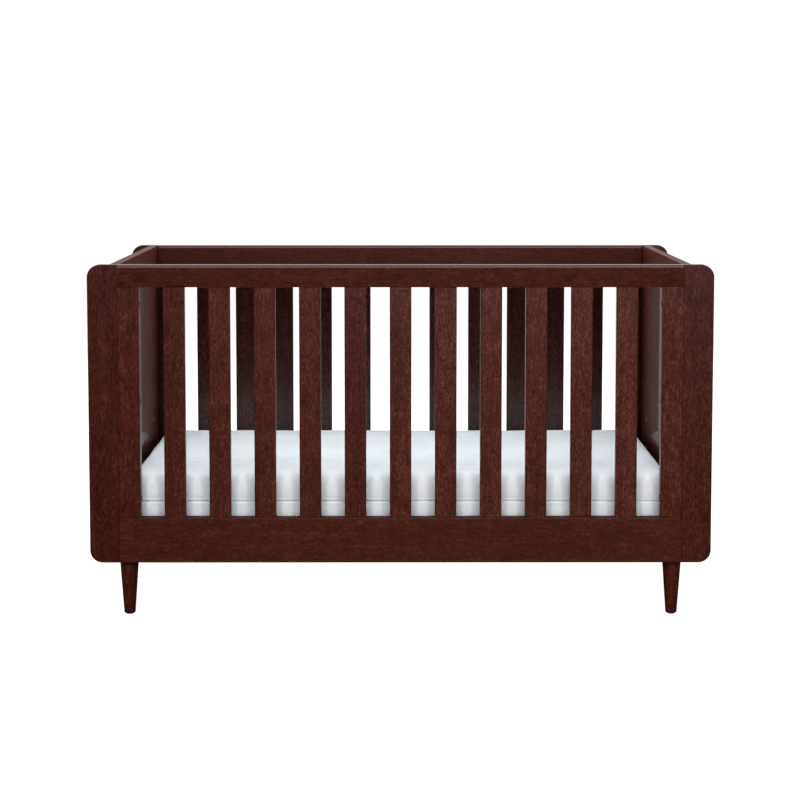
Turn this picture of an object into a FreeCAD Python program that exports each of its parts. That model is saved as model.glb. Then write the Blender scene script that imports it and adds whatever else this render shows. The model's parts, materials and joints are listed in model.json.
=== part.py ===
"""A full-size baby crib: two slatted sides, two solid ends, four turned legs,
a steel mattress support with four height settings, and a mattress.

Millimetres. +X runs along the crib to its right, +Y from front to back, +Z up.
The origin is on the floor under the middle of the crib.
"""
import FreeCAD, Part
import math
import os

import Sketcher

doc = FreeCAD.newDocument("baby_crib")
sheet = doc.addObject("Spreadsheet::Sheet", "dims")

# Driving dimensions: alias, value, meaning.
DIMENSIONS = (
    ("inside_length", 1330, "clear length between the end panels"),
    ("overall_depth", 755, "front face to back face"),
    ("overall_height", 839, "floor to the top of the rails"),
    ("leg_height", 131, "floor to the underside of the boards"),
    ("post_width", 70.5, "width of an upright end post"),
    ("board_thickness", 22, "thickness of posts, rails and stiles"),
    ("panel_thickness", 20, "thickness of an end panel"),
    ("post_corner_radius", 30, "rounding of a post's outer corners"),
    ("edge_ease", 1.2, "small rounding of the boards' edges"),
    ("end_ease", 0.8, "small rounding where a board butts on another"),
    ("top_rail_height", 53, "height of a top rail"),
    ("top_rail_round", 8, "roundover along the top of a top rail"),
    ("bottom_rail_height", 108, "height of a bottom rail"),
    ("bottom_rail_round", 3, "roundover along the top of a bottom rail"),
    ("slat_count", 11, "slats in one side"),
    ("slat_width", 51, "width of a slat and of a stile"),
    ("slat_thickness", 19, "thickness of a slat"),
    ("slat_round", 3, "rounding of a slat's long edges"),
    ("tenon_length", 10, "depth of a slat's tenon in the rail"),
    ("tenon_thickness", 12, "thickness of a tenon"),
    ("tenon_shoulder", 4, "shoulder on each side of a tenon"),
    ("joint_gap", 0.2, "glue gap round a tenon or a tongue"),
    ("tongue_depth", 5, "reach of an end panel's tongue into the post"),
    ("tongue_thickness", 8, "thickness of that tongue"),
    ("tongue_stop", 20, "distance of the tongue's ends from the panel's ends"),
    ("bolt_radius", 3, "shank radius of a frame bolt"),
    ("bolt_length", 60, "frame bolt from under its head to its tip"),
    ("bolt_head_radius", 6, "head radius of a frame bolt"),
    ("bolt_head_height", 4.5, "head height of a frame bolt"),
    ("socket_size", 4, "hex socket across its flats"),
    ("socket_depth", 3, "depth of a hex socket"),
    ("bolt_hole_radius", 3.5, "clearance hole for a frame bolt"),
    ("counterbore_radius", 7, "counterbore for a bolt's head"),
    ("counterbore_depth", 6, "depth of that counterbore"),
    ("bolt_low", 285, "height of the lowest frame bolts"),
    ("bolt_spacing", 230, "spacing of the frame bolts up the stile"),
    ("bolt_levels", 3, "frame bolts in one stile"),
    ("insert_radius", 5, "outside radius of a threaded insert"),
    ("insert_length", 13, "length of a threaded insert"),
    ("thread_gap", 0.1, "gap between a thread and its hole"),
    ("leg_top_radius", 22.3, "radius of a leg at the top"),
    ("leg_foot_radius", 13.4, "radius of a leg at the floor"),
    ("leg_foot_round", 1.5, "rounding of a leg's lower edge"),
    ("leg_inset_x", 17, "leg centre inside the face of the end panel"),
    ("leg_inset_y", 37, "leg centre behind the front face"),
    ("glide_height", 2.5, "height of the plastic glide under a leg"),
    ("glide_radius", 10, "radius of that glide"),
    ("hanger_radius", 4, "radius of a leg's hanger bolt"),
    ("hanger_in_leg", 30, "hanger bolt inside the leg"),
    ("hanger_in_block", 16, "hanger bolt inside the corner block"),
    ("block_size", 60, "corner block along X and along Y"),
    ("block_height", 24, "height of a corner block"),
    ("block_insert_radius", 6, "outside radius of the insert in a block"),
    ("screw_radius", 2.2, "shank radius of a block screw"),
    ("screw_head_radius", 4.2, "head radius of a block screw"),
    ("screw_head_height", 3, "height of a block screw's countersunk head"),
    ("screw_length", 45, "length of a block screw"),
    ("screw_in_panel", 14, "screw inside the end panel"),
    ("screw_first", 52, "first screw behind the inner face of the rail"),
    ("screw_spacing", 20, "spacing of the two screws of a block"),
    ("support_top", 181, "height of the mattress support at its lowest"),
    ("support_half_length", 659.5, "middle to the outside of an end rail"),
    ("support_half_width", 340, "middle to the outside of a side rail"),
    ("angle_width", 22, "leg of the support's steel angle"),
    ("angle_thickness", 2.5, "thickness of that angle"),
    ("wire_radius", 1.5, "radius of a support wire"),
    ("long_wire_half", 585, "half the length of a long wire"),
    ("long_wire_count", 9, "wires along the support"),
    ("long_wire_spacing", 70, "spacing of the long wires"),
    ("cross_wire_count", 12, "wires across the support"),
    ("cross_wire_spacing", 100, "spacing of the cross wires"),
    ("wire_depth", 6, "long wires' centres below the top of the support"),
    ("spring_wire_radius", 0.9, "wire radius of an end spring"),
    ("spring_radius", 4.5, "outside radius of an end spring"),
    ("spring_length", 40, "coiled length of an end spring"),
    ("spring_tail", 4, "straight tail on the wire's end of a spring"),
    ("spring_hook", 18, "straight tail under the end rail"),
    ("bracket_width", 40, "width of a corner bracket"),
    ("bracket_thickness", 2.5, "thickness of a corner bracket"),
    ("bracket_low", 135, "height of a bracket's lower edge"),
    ("bracket_place", 240, "bracket centre from the middle of the crib"),
    ("notch_gap", 0.3, "gap between a notch and its pin"),
    ("pin_height", 148, "height of the lowest support pins"),
    ("pin_shoulder_radius", 4, "shoulder radius of a support pin"),
    ("pin_shoulder_length", 6, "shoulder length of a support pin"),
    ("pin_thread_length", 11, "thread length of a support pin"),
    ("pin_head_radius", 7, "head radius of a support pin"),
    ("pin_head_height", 4.5, "head height of a support pin"),
    ("level_count", 4, "height settings of the support"),
    ("level_spacing", 76, "spacing of the height settings"),
    ("mattress_length", 1324, "length of the mattress"),
    ("mattress_width", 692, "width of the mattress"),
    ("mattress_thickness", 150, "thickness of the mattress"),
    ("mattress_corner", 52, "plan rounding of the mattress's corners"),
    ("mattress_edge", 14, "rounding of the mattress's long edges"),
    ("mattress_gap", 0.3, "gap between the mattress and its support"),
)
for row, (alias, value, meaning) in enumerate(DIMENSIONS, start=1):
    sheet.set(f"A{row}", meaning)
    sheet.set(f"B{row}", str(value))
    sheet.setAlias(f"B{row}", alias)
doc.recompute()

# Sizes that follow from the driving ones, as expressions.
HALF_INSIDE = "dims.inside_length / 2"
FRONT_FACE = "-dims.overall_depth / 2"
FRAME_INNER = "(dims.overall_depth / 2 - dims.board_thickness)"
BOARD_HEIGHT = "(dims.overall_height - dims.leg_height)"
SLAT_LENGTH = f"({BOARD_HEIGHT} - dims.top_rail_height - dims.bottom_rail_height)"
SLAT_BASE = "(dims.leg_height + dims.bottom_rail_height)"
SLAT_PITCH = "((dims.inside_length - dims.slat_width) / (dims.slat_count + 1))"
MID_BOARD = "(dims.board_thickness / 2)"
MID_BOARD_Y = f"({FRONT_FACE} + {MID_BOARD})"
BOLT_START = f"({HALF_INSIDE} - dims.slat_width + dims.counterbore_depth)"
LEG_X = f"({HALF_INSIDE} - dims.leg_inset_x)"
LEG_Y = "(dims.overall_depth / 2 - dims.leg_inset_y)"
SCREW_HEIGHT = "(dims.leg_height + dims.block_height / 2)"
SCREW_Y = f"({FRAME_INNER} - dims.screw_first)"
SCREW_HEAD_X = f"({HALF_INSIDE} + dims.screw_in_panel - dims.screw_length)"
LONG_WIRE_Z = "(dims.support_top - dims.wire_depth)"
CROSS_WIRE_Z = f"({LONG_WIRE_Z} - 2 * dims.wire_radius)"

sub_parts = []


def value_of(alias):
    """One driving dimension as a number."""
    return float(sheet.get(alias))


def new_body(label):
    """An empty body that will become one node."""
    body = doc.addObject("PartDesign::Body", label)
    body.Label = label
    body.AllowCompound = True
    sub_parts.append(body)
    return body


def place(body, x, y, z, turned=False):
    """Set a piece in the crib. A turned piece faces backwards, half a turn about the upright axis."""
    angle = 180 if turned else 0
    sign = "-" if turned else ""
    body.Placement = FreeCAD.Placement(
        FreeCAD.Vector(0, 0, 0), FreeCAD.Rotation(FreeCAD.Vector(0, 0, 1), angle))
    body.setExpression("Placement.Base.x", f"{sign}({x})")
    body.setExpression("Placement.Base.y", f"{sign}({y})")
    body.setExpression("Placement.Base.z", z)


def origin_part(body, role):
    """A plane or an axis of the body's own origin."""
    return next(part for part in body.Origin.OriginFeatures if part.Role == role)


def sketch_on(body, role, x="0", y="0", z="0"):
    """A sketch on an origin plane, shifted along its own x, y and normal."""
    sketch = body.newObject("Sketcher::SketchObject", body.Name + "_sketch")
    sketch.AttachmentSupport = [(origin_part(body, role), "")]
    sketch.MapMode = "FlatFace"
    sketch.setExpression("AttachmentOffset.Base.x", x)
    sketch.setExpression("AttachmentOffset.Base.y", y)
    sketch.setExpression("AttachmentOffset.Base.z", z)
    return sketch


def bind(sketch, constraint, expression):
    """Add a constraint whose value follows an expression."""
    index = sketch.addConstraint(constraint)
    sketch.setExpression(f"Constraints[{index}]", expression)


def outline(sketch, corners):
    """A closed outline of straight sides through corners given as pairs of expressions."""
    first = sketch.GeometryCount
    count = len(corners)
    spots = []
    for index in range(count):
        angle = 2 * math.pi * index / count
        spots.append(FreeCAD.Vector(10 * math.cos(angle), 10 * math.sin(angle), 0))
    for index in range(count):
        sketch.addGeometry(Part.LineSegment(spots[index], spots[(index + 1) % count]), False)
    for index, (x, y) in enumerate(corners):
        after = first + (index + 1) % count
        sketch.addConstraint(Sketcher.Constraint("Coincident", first + index, 2, after, 1))
        bind(sketch, Sketcher.Constraint("DistanceX", -1, 1, first + index, 1, 1.0), x)
        bind(sketch, Sketcher.Constraint("DistanceY", -1, 1, first + index, 1, 1.0), y)


def rectangle(sketch, x_low, x_high, y_low, y_high):
    """A rectangle between two pairs of expressions."""
    outline(sketch, [(x_low, y_low), (x_high, y_low), (x_high, y_high), (x_low, y_high)])


def circle(sketch, x, y, radius):
    """A circle whose centre and radius follow expressions."""
    shape = Part.Circle(FreeCAD.Vector(1, 1, 0), FreeCAD.Vector(0, 0, 1), 1.0)
    index = sketch.addGeometry(shape, False)
    bind(sketch, Sketcher.Constraint("DistanceX", -1, 1, index, 3, 1.0), x)
    bind(sketch, Sketcher.Constraint("DistanceY", -1, 1, index, 3, 1.0), y)
    bind(sketch, Sketcher.Constraint("Radius", index, 1.0), radius)


def pad(body, sketch, length, backwards=False):
    """Extrude a sketch along its normal, or against it."""
    feature = body.newObject("PartDesign::Pad", body.Name + "_pad")
    feature.Profile = sketch
    feature.Reversed = backwards
    feature.setExpression("Length", length)


def pocket(body, sketch, depth, along_normal=False):
    """Cut a sketch into the body, and make sure that it takes material away."""
    doc.recompute()
    before = body.Tip.Shape.Volume
    feature = body.newObject("PartDesign::Pocket", body.Name + "_pocket")
    feature.Profile = sketch
    feature.Reversed = along_normal
    feature.setExpression("Length", depth)
    doc.recompute()
    if feature.Shape.Volume > before - 1:
        raise RuntimeError(f"{feature.Name} cuts nothing")


def revolve(body, sketch, axis):
    """Turn a sketch a full turn about one of its own axes."""
    feature = body.newObject("PartDesign::Revolution", body.Name + "_turning")
    feature.Profile = sketch
    feature.ReferenceAxis = (sketch, [axis])
    feature.Angle = 360


def row(body, role, count, extent):
    """Repeat the last feature in a straight row."""
    last = body.Tip
    feature = body.newObject("PartDesign::LinearPattern", body.Name + "_row")
    feature.Originals = [last]
    feature.Direction = (origin_part(body, role), [""])
    feature.setExpression("Occurrences", count)
    feature.setExpression("Length", extent)
    body.Tip = feature


def stack(body, role, count, extent):
    """Repeat the whole body in a straight row."""
    feature = body.newObject("PartDesign::LinearPattern", body.Name + "_stack")
    feature.TransformMode = "Whole shape"
    feature.Direction = (origin_part(body, role), [""])
    feature.setExpression("Occurrences", count)
    feature.setExpression("Length", extent)
    body.Tip = feature


def mirror(body, *roles):
    """Mirror the whole body about planes of its origin, one after the other."""
    for role in roles:
        feature = body.newObject("PartDesign::Mirrored", body.Name + "_mirror")
        feature.TransformMode = "Whole shape"
        feature.MirrorPlane = (origin_part(body, role), [""])
        body.Tip = feature


def runs_along(edge, axis):
    """True for a straight edge parallel to an axis."""
    box = edge.BoundBox
    spans = {"X": box.XLength, "Y": box.YLength, "Z": box.ZLength}
    length = spans.pop(axis)
    return length > 1 and max(spans.values()) < 0.01


def dress(body, kind, property_name, size, wanted):
    """Round or chamfer the edges of the last feature that a test picks."""
    doc.recompute()
    base = body.Tip
    names = [f"Edge{number}" for number, edge in enumerate(base.Shape.Edges, start=1) if wanted(edge)]
    feature = body.newObject(kind, body.Name + "_edges")
    feature.Base = (base, names)
    feature.setExpression(property_name, size)


def round_edges(body, radius, wanted):
    """Round the picked edges."""
    dress(body, "PartDesign::Fillet", "Radius", radius, wanted)


def chamfer_edges(body, size, wanted):
    """Chamfer the picked edges."""
    dress(body, "PartDesign::Chamfer", "Size", size, wanted)


def bolt_heights(base):
    """Heights of a stile's bolts above a base, lowest first."""
    levels = range(int(value_of("bolt_levels")))
    return [f"dims.bolt_low + {level} * dims.bolt_spacing - {base}" for level in levels]


def post(label, side, turned):
    """An upright end post. Its inner edge is at x = 0 and its outer face at y = 0."""
    body = new_body(label)
    face = sketch_on(body, "XZ_Plane")
    rectangle(face, "0", f"{side} * dims.post_width", "0", BOARD_HEIGHT)
    pad(body, face, "dims.board_thickness", backwards=True)
    half = value_of("post_width") / 2
    round_edges(body, "dims.post_corner_radius",
                lambda edge: runs_along(edge, "Y") and abs(edge.BoundBox.Center.x) > half)
    round_edges(body, "dims.edge_ease", lambda edge: edge.BoundBox.YLength < 0.01)

    groove = sketch_on(body, "XY_Plane", z="dims.tongue_stop - dims.joint_gap")
    rectangle(groove,
              f"{side} * ((dims.panel_thickness - dims.tongue_thickness) / 2 - dims.joint_gap)",
              f"{side} * ((dims.panel_thickness + dims.tongue_thickness) / 2 + dims.joint_gap)",
              "dims.board_thickness - dims.tongue_depth - dims.joint_gap", "dims.board_thickness")
    pocket(body, groove, f"{BOARD_HEIGHT} - 2 * dims.tongue_stop + 2 * dims.joint_gap", along_normal=True)

    holes = sketch_on(body, "YZ_Plane")
    for height in bolt_heights("dims.leg_height"):
        circle(holes, MID_BOARD, height, "dims.insert_radius + dims.thread_gap")
    pocket(body, holes, "dims.insert_length + 3", along_normal=side > 0)
    place(body, f"{side} * {HALF_INSIDE}", FRONT_FACE, "dims.leg_height", turned)


def rail(label, height, top_round, mortises_below, base, turned):
    """A rail of one side, with a mortise for each slat and stile. Its left end is at x = 0."""
    body = new_body(label)
    section = sketch_on(body, "YZ_Plane")
    rectangle(section, "0", "dims.board_thickness", "0", height)
    pad(body, section, "dims.inside_length")
    round_edges(body, top_round, lambda edge: runs_along(edge, "X") and edge.BoundBox.ZMin > 1)
    round_edges(body, "dims.edge_ease", lambda edge: runs_along(edge, "X") and edge.BoundBox.ZMax < 1)
    round_edges(body, "dims.end_ease", lambda edge: edge.BoundBox.XLength < 0.01)

    mortise = sketch_on(body, "XY_Plane", z="0" if mortises_below else height)
    rectangle(mortise,
              "dims.tenon_shoulder - dims.joint_gap",
              "dims.slat_width - dims.tenon_shoulder + dims.joint_gap",
              f"{MID_BOARD} - dims.tenon_thickness / 2 - dims.joint_gap",
              f"{MID_BOARD} + dims.tenon_thickness / 2 + dims.joint_gap")
    pocket(body, mortise, "dims.tenon_length + 2 * dims.joint_gap", along_normal=mortises_below)
    row(body, "X_Axis", "dims.slat_count + 2", f"(dims.slat_count + 1) * {SLAT_PITCH}")
    place(body, f"-{HALF_INSIDE}", FRONT_FACE, base, turned)


def tenon(body, thickness):
    """A tenon at each end of an upright that starts at z = 0."""
    section = sketch_on(body, "XY_Plane", z="-dims.tenon_length")
    rectangle(section, "dims.tenon_shoulder", "dims.slat_width - dims.tenon_shoulder",
              f"({thickness} - dims.tenon_thickness) / 2", f"({thickness} + dims.tenon_thickness) / 2")
    pad(body, section, f"{SLAT_LENGTH} + 2 * dims.tenon_length")


def slat(label, number, turned):
    """One slat, numbered from the left. Its left edge is at x = 0."""
    body = new_body(label)
    section = sketch_on(body, "XY_Plane")
    rectangle(section, "0", "dims.slat_width", "0", "dims.slat_thickness")
    pad(body, section, SLAT_LENGTH)
    round_edges(body, "dims.slat_round", lambda edge: runs_along(edge, "Z"))
    tenon(body, "dims.slat_thickness")
    place(body, f"{number} * {SLAT_PITCH} - {HALF_INSIDE}",
          f"{FRONT_FACE} + (dims.board_thickness - dims.slat_thickness) / 2", SLAT_BASE, turned)


def stile(label, side, turned):
    """The upright beside a post, bolted to it. Its left edge is at x = 0."""
    body = new_body(label)
    section = sketch_on(body, "XY_Plane")
    rectangle(section, "0", "dims.slat_width", "0", "dims.board_thickness")
    pad(body, section, SLAT_LENGTH)
    round_edges(body, "dims.edge_ease", lambda edge: runs_along(edge, "Z"))
    round_edges(body, "dims.end_ease", lambda edge: edge.BoundBox.ZLength < 0.01)
    tenon(body, "dims.board_thickness")

    holes = sketch_on(body, "YZ_Plane")
    counterbores = sketch_on(body, "YZ_Plane", z="0" if side > 0 else "dims.slat_width")
    for height in bolt_heights(SLAT_BASE):
        circle(holes, MID_BOARD, height, "dims.bolt_hole_radius")
        circle(counterbores, MID_BOARD, height, "dims.counterbore_radius")
    pocket(body, holes, "dims.slat_width", along_normal=True)
    pocket(body, counterbores, "dims.counterbore_depth", along_normal=side > 0)
    left = f"{HALF_INSIDE} - dims.slat_width" if side > 0 else f"-{HALF_INSIDE}"
    place(body, left, FRONT_FACE, SLAT_BASE, turned)


def end_panel(label, side):
    """A solid end between two posts. Its inner face is at x = 0."""
    body = new_body(label)
    section = sketch_on(body, "XY_Plane")
    rectangle(section, "0", f"{side} * dims.panel_thickness", f"-{FRAME_INNER}", FRAME_INNER)
    pad(body, section, BOARD_HEIGHT)
    round_edges(body, "dims.edge_ease", lambda edge: runs_along(edge, "Y"))

    tongue = sketch_on(body, "XY_Plane", z="dims.tongue_stop")
    rectangle(tongue,
              f"{side} * (dims.panel_thickness - dims.tongue_thickness) / 2",
              f"{side} * (dims.panel_thickness + dims.tongue_thickness) / 2",
              f"-({FRAME_INNER} + dims.tongue_depth)", f"{FRAME_INNER} + dims.tongue_depth")
    pad(body, tongue, f"{BOARD_HEIGHT} - 2 * dims.tongue_stop")

    insert_holes = sketch_on(body, "YZ_Plane")
    for level in range(int(value_of("level_count"))):
        for sign in (-1, 1):
            circle(insert_holes, f"{sign} * dims.bracket_place",
                   f"dims.pin_height + {level} * dims.level_spacing - dims.leg_height",
                   "dims.insert_radius + dims.thread_gap")
    pocket(body, insert_holes, "dims.insert_length + 1", along_normal=side > 0)

    screw_holes = sketch_on(body, "YZ_Plane")
    for number in range(2):
        for sign in (-1, 1):
            circle(screw_holes, f"{sign} * ({SCREW_Y} + {number} * dims.screw_spacing)",
                   "dims.block_height / 2", "dims.screw_radius + dims.thread_gap")
    pocket(body, screw_holes, "dims.screw_in_panel + 1", along_normal=side > 0)
    place(body, f"{side} * {HALF_INSIDE}", "0", "dims.leg_height")


def corner_block(label, side, turned):
    """A block in a lower corner that holds a leg. It is drawn about the middle of the crib."""
    body = new_body(label)
    section = sketch_on(body, "XY_Plane")
    rectangle(section, f"{side} * ({HALF_INSIDE} - dims.block_size)", f"{side} * {HALF_INSIDE}",
              f"-{FRAME_INNER}", f"-({FRAME_INNER} - dims.block_size)")
    pad(body, section, "dims.block_height")
    round_edges(body, "dims.edge_ease", lambda edge: runs_along(edge, "Z"))

    insert_hole = sketch_on(body, "XY_Plane")
    circle(insert_hole, f"{side} * {LEG_X}", f"-{LEG_Y}", "dims.block_insert_radius + dims.thread_gap")
    pocket(body, insert_hole, "dims.hanger_in_block + 2", along_normal=True)

    head_holes = sketch_on(body, "YZ_Plane", z=f"{side} * ({HALF_INSIDE} - dims.block_size)")
    shank_holes = sketch_on(body, "YZ_Plane", z=f"{side} * ({HALF_INSIDE} - dims.block_size)")
    for number in range(2):
        y = f"-({SCREW_Y} + {number} * dims.screw_spacing)"
        circle(head_holes, y, "dims.block_height / 2", "dims.screw_head_radius + dims.thread_gap")
        circle(shank_holes, y, "dims.block_height / 2", "dims.screw_radius + dims.thread_gap")
    head_end = f"dims.block_size - {HALF_INSIDE} + {SCREW_HEAD_X} + dims.screw_head_height"
    pocket(body, head_holes, head_end, along_normal=side > 0)
    pocket(body, shank_holes, "dims.block_size", along_normal=side > 0)
    place(body, "0", "0", "dims.leg_height", turned)


def leg(label, side, turned):
    """A round tapered leg with a hole for its hanger bolt. Its centre line is x = y = 0."""
    body = new_body(label)
    half_section = sketch_on(body, "XZ_Plane")
    hole = "dims.hanger_radius + dims.thread_gap"
    hole_floor = "dims.leg_height - dims.hanger_in_leg - 1"
    outline(half_section, [
        ("0", "dims.glide_height"), ("dims.leg_foot_radius", "dims.glide_height"),
        ("dims.leg_top_radius", "dims.leg_height"), (hole, "dims.leg_height"),
        (hole, hole_floor), ("0", hole_floor)])
    revolve(body, half_section, "V_Axis")
    foot = value_of("glide_height") + 0.1
    round_edges(body, "dims.leg_foot_round", lambda edge: edge.BoundBox.ZMax < foot)
    place(body, f"{side} * {LEG_X}", f"-{LEG_Y}", "0", turned)


def frame_bolts():
    """Socket-head bolts that draw the stiles onto the posts."""
    body = new_body("frame_bolts")
    profile = sketch_on(body, "XZ_Plane", x=BOLT_START, y="dims.bolt_low", z=f"-{MID_BOARD_Y}")
    outline(profile, [
        ("-dims.bolt_head_height", "0"), ("-dims.bolt_head_height", "dims.bolt_head_radius"),
        ("0", "dims.bolt_head_radius"), ("0", "dims.bolt_radius"),
        ("dims.bolt_length", "dims.bolt_radius"), ("dims.bolt_length", "0")])
    revolve(body, profile, "H_Axis")
    socket = sketch_on(body, "YZ_Plane", x=MID_BOARD_Y, y="dims.bolt_low",
                       z=f"{BOLT_START} - dims.bolt_head_height")
    flat = "dims.socket_size / 2"
    point = "dims.socket_size / sqrt(3)"
    outline(socket, [(point, "0"), (f"{point} / 2", flat), (f"-{point} / 2", flat),
                     (f"-{point}", "0"), (f"-{point} / 2", f"-{flat}"), (f"{point} / 2", f"-{flat}")])
    pocket(body, socket, "dims.socket_depth", along_normal=True)
    stack(body, "Z_Axis", "dims.bolt_levels", "(dims.bolt_levels - 1) * dims.bolt_spacing")
    mirror(body, "YZ_Plane", "XZ_Plane")


def post_inserts():
    """Threaded inserts in the posts' inner edges."""
    body = new_body("post_inserts")
    ring = sketch_on(body, "YZ_Plane", z=HALF_INSIDE)
    circle(ring, MID_BOARD_Y, "dims.bolt_low", "dims.insert_radius")
    circle(ring, MID_BOARD_Y, "dims.bolt_low", "dims.bolt_radius + dims.thread_gap")
    pad(body, ring, "dims.insert_length")
    stack(body, "Z_Axis", "dims.bolt_levels", "(dims.bolt_levels - 1) * dims.bolt_spacing")
    mirror(body, "YZ_Plane", "XZ_Plane")


def panel_inserts():
    """Threaded inserts in the end panels, one for each bracket at each height setting."""
    body = new_body("panel_inserts")
    ring = sketch_on(body, "YZ_Plane", z=HALF_INSIDE)
    circle(ring, "dims.bracket_place", "dims.pin_height", "dims.insert_radius")
    circle(ring, "dims.bracket_place", "dims.pin_height", "dims.bolt_radius + dims.thread_gap")
    pad(body, ring, "dims.insert_length")
    stack(body, "Z_Axis", "dims.level_count", "(dims.level_count - 1) * dims.level_spacing")
    mirror(body, "YZ_Plane", "XZ_Plane")


def support_pins():
    """Shoulder bolts in the lowest inserts, which the brackets hang on."""
    body = new_body("support_pins")
    profile = sketch_on(body, "XZ_Plane", x=HALF_INSIDE, y="dims.pin_height", z="dims.bracket_place")
    shoulder = "-dims.pin_shoulder_length"
    face = "-(dims.pin_shoulder_length + dims.pin_head_height)"
    outline(profile, [
        (face, "0"), (face, "dims.pin_head_radius"), (shoulder, "dims.pin_head_radius"),
        (shoulder, "dims.pin_shoulder_radius"), ("0", "dims.pin_shoulder_radius"), ("0", "dims.bolt_radius"),
        ("dims.pin_thread_length", "dims.bolt_radius"), ("dims.pin_thread_length", "0")])
    revolve(body, profile, "H_Axis")
    mirror(body, "YZ_Plane", "XZ_Plane")


def leg_hanger_bolts():
    """Studs that hold the legs in the corner blocks."""
    body = new_body("leg_hanger_bolts")
    section = sketch_on(body, "XY_Plane", z="dims.leg_height - dims.hanger_in_leg")
    circle(section, LEG_X, f"-{LEG_Y}", "dims.hanger_radius")
    pad(body, section, "dims.hanger_in_leg + dims.hanger_in_block")
    mirror(body, "YZ_Plane", "XZ_Plane")


def block_inserts():
    """Threaded inserts in the corner blocks for the hanger bolts."""
    body = new_body("block_inserts")
    ring = sketch_on(body, "XY_Plane", z="dims.leg_height")
    circle(ring, LEG_X, f"-{LEG_Y}", "dims.block_insert_radius")
    circle(ring, LEG_X, f"-{LEG_Y}", "dims.hanger_radius + dims.thread_gap")
    pad(body, ring, "dims.hanger_in_block")
    mirror(body, "YZ_Plane", "XZ_Plane")


def block_screws():
    """Countersunk screws that fix the corner blocks to the end panels."""
    body = new_body("block_screws")
    for number in range(2):
        profile = sketch_on(body, "XZ_Plane", x=SCREW_HEAD_X, y=SCREW_HEIGHT,
                            z=f"{SCREW_Y} + {number} * dims.screw_spacing")
        outline(profile, [
            ("0", "0"), ("0", "dims.screw_head_radius"), ("dims.screw_head_height", "dims.screw_radius"),
            ("dims.screw_length", "dims.screw_radius"), ("dims.screw_length", "0")])
        revolve(body, profile, "H_Axis")
    mirror(body, "YZ_Plane", "XZ_Plane")


def foot_glides():
    """Plastic glides nailed under the legs."""
    body = new_body("foot_glides")
    section = sketch_on(body, "XY_Plane")
    circle(section, LEG_X, f"-{LEG_Y}", "dims.glide_radius")
    pad(body, section, "dims.glide_height")
    chamfer_edges(body, "dims.glide_height / 3", lambda edge: edge.BoundBox.ZMax < 0.01)
    mirror(body, "YZ_Plane", "XZ_Plane")


def support_side_rail(label, turned):
    """A steel angle along the support, its flange at the top."""
    body = new_body(label)
    section = sketch_on(body, "YZ_Plane", z="-(dims.support_half_length - dims.angle_width)")
    outline(section, [
        ("0", "0"), ("0", "-dims.angle_width"), ("dims.angle_thickness", "-dims.angle_width"),
        ("dims.angle_thickness", "-dims.angle_thickness"), ("dims.angle_width", "-dims.angle_thickness"),
        ("dims.angle_width", "0")])
    pad(body, section, "2 * (dims.support_half_length - dims.angle_width)")
    place(body, "0", "-dims.support_half_width", "dims.support_top", turned)


def support_end_rail(label, turned):
    """A steel angle across the left end of the support, its flange at the top."""
    body = new_body(label)
    section = sketch_on(body, "XZ_Plane", z="-dims.support_half_width")
    outline(section, [
        ("0", "0"), ("0", "-dims.angle_width"), ("dims.angle_thickness", "-dims.angle_width"),
        ("dims.angle_thickness", "-dims.angle_thickness"), ("dims.angle_width", "-dims.angle_thickness"),
        ("dims.angle_width", "0")])
    pad(body, section, "2 * dims.support_half_width")
    place(body, "-dims.support_half_length", "0", "dims.support_top", turned)


def support_wires():
    """A grid of straight wires, the long ones on top of the cross ones."""
    body = new_body("support_wires")
    long_wire = sketch_on(body, "YZ_Plane", z="-dims.long_wire_half")
    circle(long_wire, "-(dims.long_wire_count - 1) / 2 * dims.long_wire_spacing", LONG_WIRE_Z,
           "dims.wire_radius")
    pad(body, long_wire, "2 * dims.long_wire_half")
    row(body, "Y_Axis", "dims.long_wire_count", "(dims.long_wire_count - 1) * dims.long_wire_spacing")
    cross_half = "(dims.support_half_width - dims.angle_thickness)"
    cross_wire = sketch_on(body, "XZ_Plane", z=f"-{cross_half}")
    circle(cross_wire, "-(dims.cross_wire_count - 1) / 2 * dims.cross_wire_spacing",
           f"{CROSS_WIRE_Z} + dims.joint_gap", "dims.wire_radius")
    pad(body, cross_wire, f"2 * {cross_half}")
    row(body, "X_Axis", "dims.cross_wire_count", "(dims.cross_wire_count - 1) * dims.cross_wire_spacing")


def support_springs():
    """End springs between the long wires and the end rails, each as the envelope of its coil on a rod."""
    body = new_body("support_springs")
    profile = sketch_on(body, "XZ_Plane", x="dims.long_wire_half + dims.joint_gap", y=LONG_WIRE_Z,
                        z="(dims.long_wire_count - 1) / 2 * dims.long_wire_spacing")
    coil_end = "dims.spring_tail + dims.spring_length"
    tip = f"{coil_end} + dims.spring_hook"
    outline(profile, [
        ("0", "0"), ("0", "dims.spring_wire_radius"), ("dims.spring_tail", "dims.spring_wire_radius"),
        ("dims.spring_tail", "dims.spring_radius"), (coil_end, "dims.spring_radius"),
        (coil_end, "dims.spring_wire_radius"), (tip, "dims.spring_wire_radius"), (tip, "0")])
    revolve(body, profile, "H_Axis")
    stack(body, "Y_Axis", "dims.long_wire_count", "(dims.long_wire_count - 1) * dims.long_wire_spacing")
    mirror(body, "YZ_Plane")


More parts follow.
